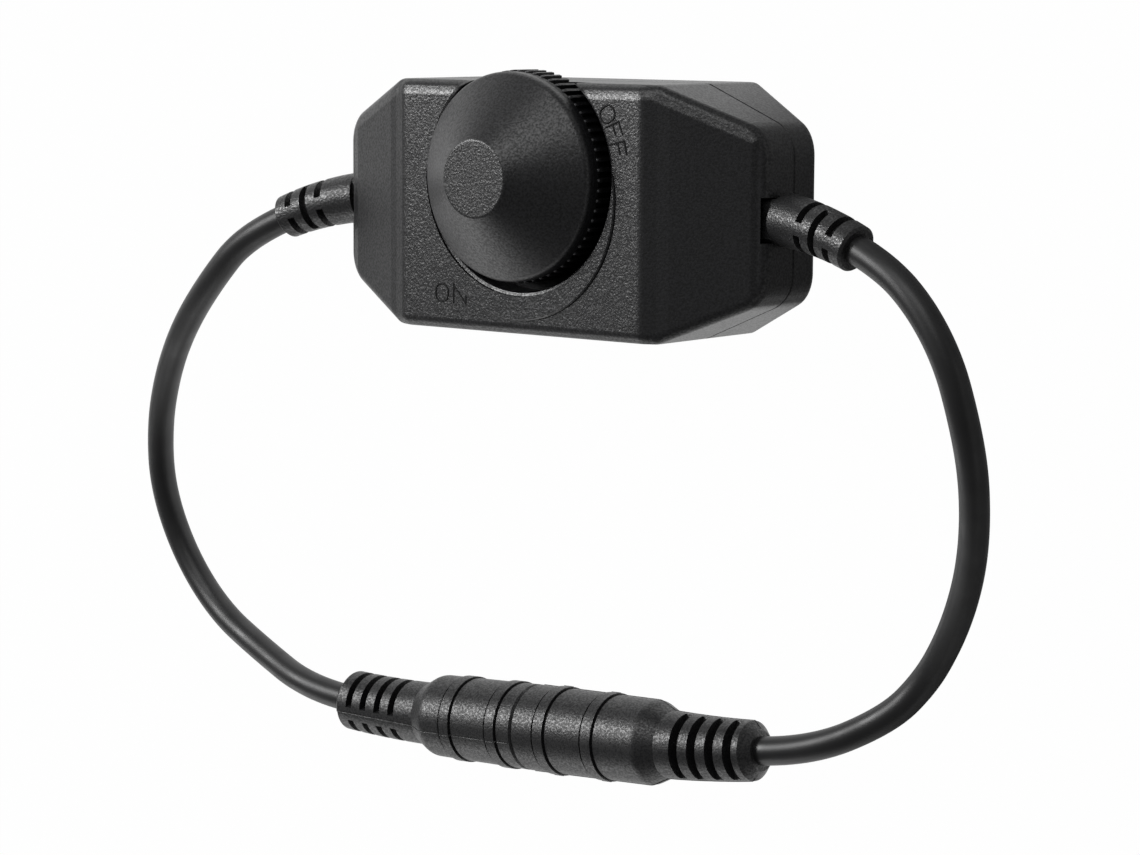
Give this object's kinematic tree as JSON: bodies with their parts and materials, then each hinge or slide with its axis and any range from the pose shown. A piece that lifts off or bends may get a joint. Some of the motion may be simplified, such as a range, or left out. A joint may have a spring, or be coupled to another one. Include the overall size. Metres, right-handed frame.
{
  "type": "led dimmer",
  "caption": "Inline LED dimmer: faceted split plastic housing with a recessed knurled knob that turns on a potentiometer, slotted strain reliefs, short cords and a mated barrel plug and socket.",
  "frame": {"origin": "middle of the flat back face of the housing, on which it lies", "axes": "+X along the housing towards the input cord with the socket, +Y towards the side where the knob's rim breaks out of the housing, +Z along the knob's axis out of the front face"},
  "size_m": [0.1443, 0.0919, 0.0314],
  "materials": {
    "housing_abs": "fine spark texture, matte black",
    "knob_abs": "satin black with a coarse top",
    "boot_pvc": "matte black flexible PVC",
    "grip_pvc": "satin black flexible PVC",
    "cord_pvc": "satin black PVC jacket",
    "zinc_steel": "zinc plated",
    "nickel_brass": "nickel plated",
    "contact_bronze": "bright spring bronze",
    "insulator": "black moulded insulator",
    "rotor_nylon": "natural nylon",
    "track_laminate": "brown paper laminate",
    "board_laminate": "green solder mask",
    "chip_epoxy": "black moulding compound",
    "chip_ceramic": "tan ceramic",
    "capacitor_can": "bright can",
    "wire_pvc": "red PVC"
  },
  "bodies": {
    "housing": {"front_shell": "housing_abs", "rear_cover": "housing_abs", "case_screws": "zinc_steel", "pot_frame": "zinc_steel", "pot_can": "zinc_steel", "pot_track": "track_laminate", "pot_switch": "insulator", "pot_terminals": "nickel_brass", "circuit_board": "board_laminate", "mosfet": "chip_epoxy", "timer_chip": "chip_epoxy", "chip_resistors": "chip_epoxy", "chip_capacitors": "chip_ceramic", "can_capacitor": "capacitor_can", "diode": "chip_epoxy", "input_wires": "wire_pvc", "output_wires": "wire_pvc", "left_boot": "boot_pvc", "right_boot": "boot_pvc", "left_cord": "cord_pvc", "right_cord": "cord_pvc", "plug_grip": "grip_pvc", "plug_sleeve": "nickel_brass", "plug_insulator": "insulator", "plug_contact": "contact_bronze", "jack_grip": "grip_pvc", "jack_insert": "insulator", "jack_pin": "nickel_brass", "jack_spring": "contact_bronze"},
    "dial": {"knob": "knob_abs", "pot_shaft": "nickel_brass", "pot_rotor": "rotor_nylon", "pot_wiper": "contact_bronze"}
  },
  "joints": [
    {"name": "dial_turn", "type": "hinge", "parent": "housing", "child": "dial", "pos_m": [0, 0.00395, 0.0228], "axis": [0, 0, 1], "range_deg": [-300, 0]}
  ]
}
